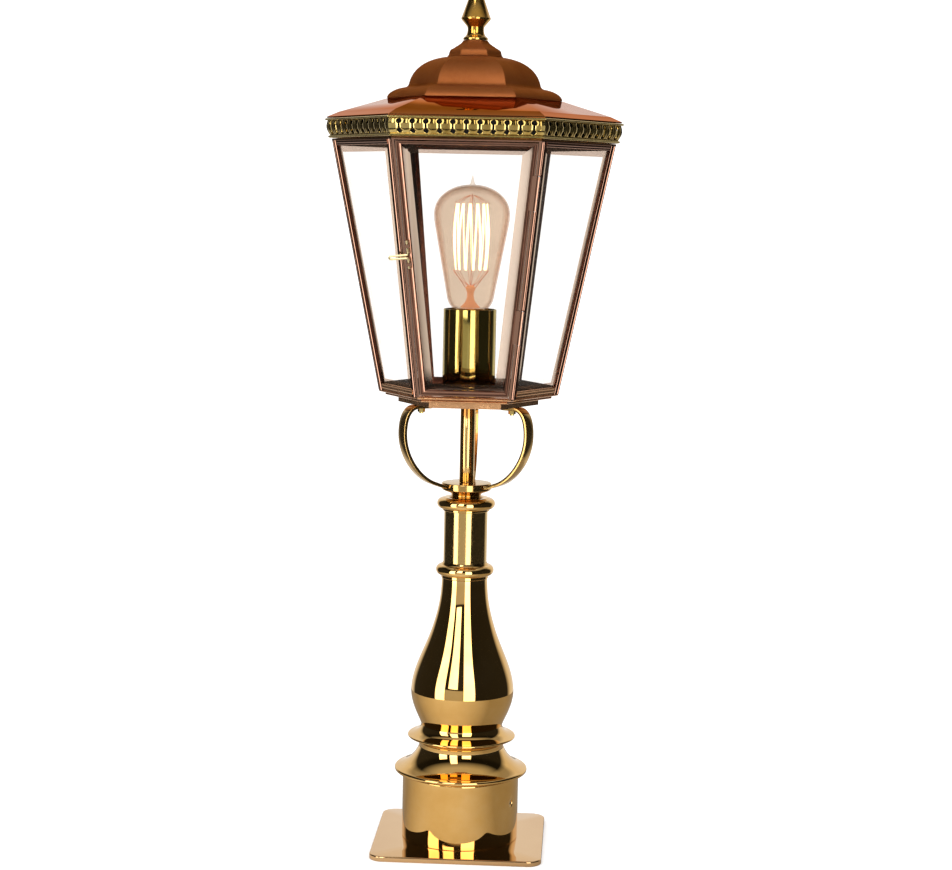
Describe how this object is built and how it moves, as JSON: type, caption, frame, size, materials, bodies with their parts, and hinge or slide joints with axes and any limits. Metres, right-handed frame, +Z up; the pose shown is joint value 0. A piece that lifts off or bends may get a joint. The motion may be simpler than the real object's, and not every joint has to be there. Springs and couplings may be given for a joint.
{
  "type": "street lamp post",
  "caption": "Table-top street lamp: turned brass column on a square plate, curved strap brackets and a hexagonal copper lantern with a hinged door and a long filament bulb.",
  "frame": {"origin": "centre of the base plate's underside", "axes": "+Z up the column, -Y towards the front of the lantern, where its door is, +X to the right seen from the front"},
  "size_m": [0.2512, 0.2176, 0.735],
  "materials": {
    "polished_brass": "polished, mirror bright with fine hairline scratches",
    "antique_brass": "aged yellow brass, satin, darker in the corners",
    "dark_copper": "copper sheet darkened to red-brown, burnished pink on the edges",
    "roof_copper": "brown copper sheet, satin polished",
    "steel": "zinc-plated steel",
    "ceramic": "glazed white",
    "rubber": "matt black",
    "lantern_glass": "clear plate with ground bevels",
    "amber_glass": "clear with an amber coat inside",
    "filament": "fine carbon-coloured wire on a glass foot"
  },
  "bodies": {
    "lamp": {"base_drum": "polished_brass", "base_nut": "steel", "base_plate": "polished_brass", "base_socket": "steel", "bottom_frame": "dark_copper", "bracket_back": "polished_brass", "bracket_bolt_back": "antique_brass", "bracket_bolt_left": "antique_brass", "bracket_bolt_right": "antique_brass", "bracket_left": "polished_brass", "bracket_right": "polished_brass", "bracket_seat": "polished_brass", "cable_grommet": "rubber", "cup_nut": "steel", "cup_washer": "polished_brass", "drum_grub_screw": "steel", "finial": "polished_brass", "flange_collar": "polished_brass", "gallery": "antique_brass", "glass_back": "lantern_glass", "glass_left_back": "lantern_glass", "glass_left_front": "lantern_glass", "glass_right_back": "lantern_glass", "glass_right_front": "lantern_glass", "hinge_lower_pin": "steel", "hinge_lower_post_leaf": "dark_copper", "hinge_upper_pin": "steel", "hinge_upper_post_leaf": "dark_copper", "lamp_cup": "polished_brass", "lampholder": "ceramic", "lower_bead": "polished_brass", "post_back_left": "dark_copper", "post_back_right": "dark_copper", "post_front_left": "dark_copper", "post_front_right": "dark_copper", "post_left": "dark_copper", "post_right": "dark_copper", "roof_cap": "roof_copper", "roof_dome": "roof_copper", "roof_skirt": "roof_copper", "saucer_ring": "polished_brass", "shaft_sleeve": "polished_brass", "stem_sleeve": "polished_brass", "tie_tube": "steel", "top_frame": "dark_copper", "tray": "dark_copper", "upper_bead": "polished_brass", "vase_body": "polished_brass"},
    "door": {"catch_keeper_lower": "dark_copper", "catch_keeper_upper": "dark_copper", "door_frame": "dark_copper", "door_glass": "lantern_glass", "hinge_lower_door_leaf": "dark_copper", "hinge_upper_door_leaf": "dark_copper"},
    "catch": {"door_catch": "polished_brass"},
    "bulb": {"bulb_glass": "amber_glass", "bulb_cap": "polished_brass", "bulb_filament": "filament"}
  },
  "joints": [
    {"name": "door_hinge", "type": "hinge", "parent": "lamp", "child": "door", "pos_m": [0.05646, -0.09777, 0.55868], "axis": [0.0998, -0.1728, 0.9799], "range_deg": [0, 110]},
    {"name": "catch_turn", "type": "hinge", "parent": "door", "child": "catch", "pos_m": [-0.04592, -0.08868, 0.50667], "axis": [-0.0998, -0.1728, 0.9799], "range_deg": [0, 100]},
    {"name": "bulb_lift", "type": "slide", "parent": "lamp", "child": "bulb", "axis": [0, 0, 1], "range_m": [0, 0.026]}
  ]
}
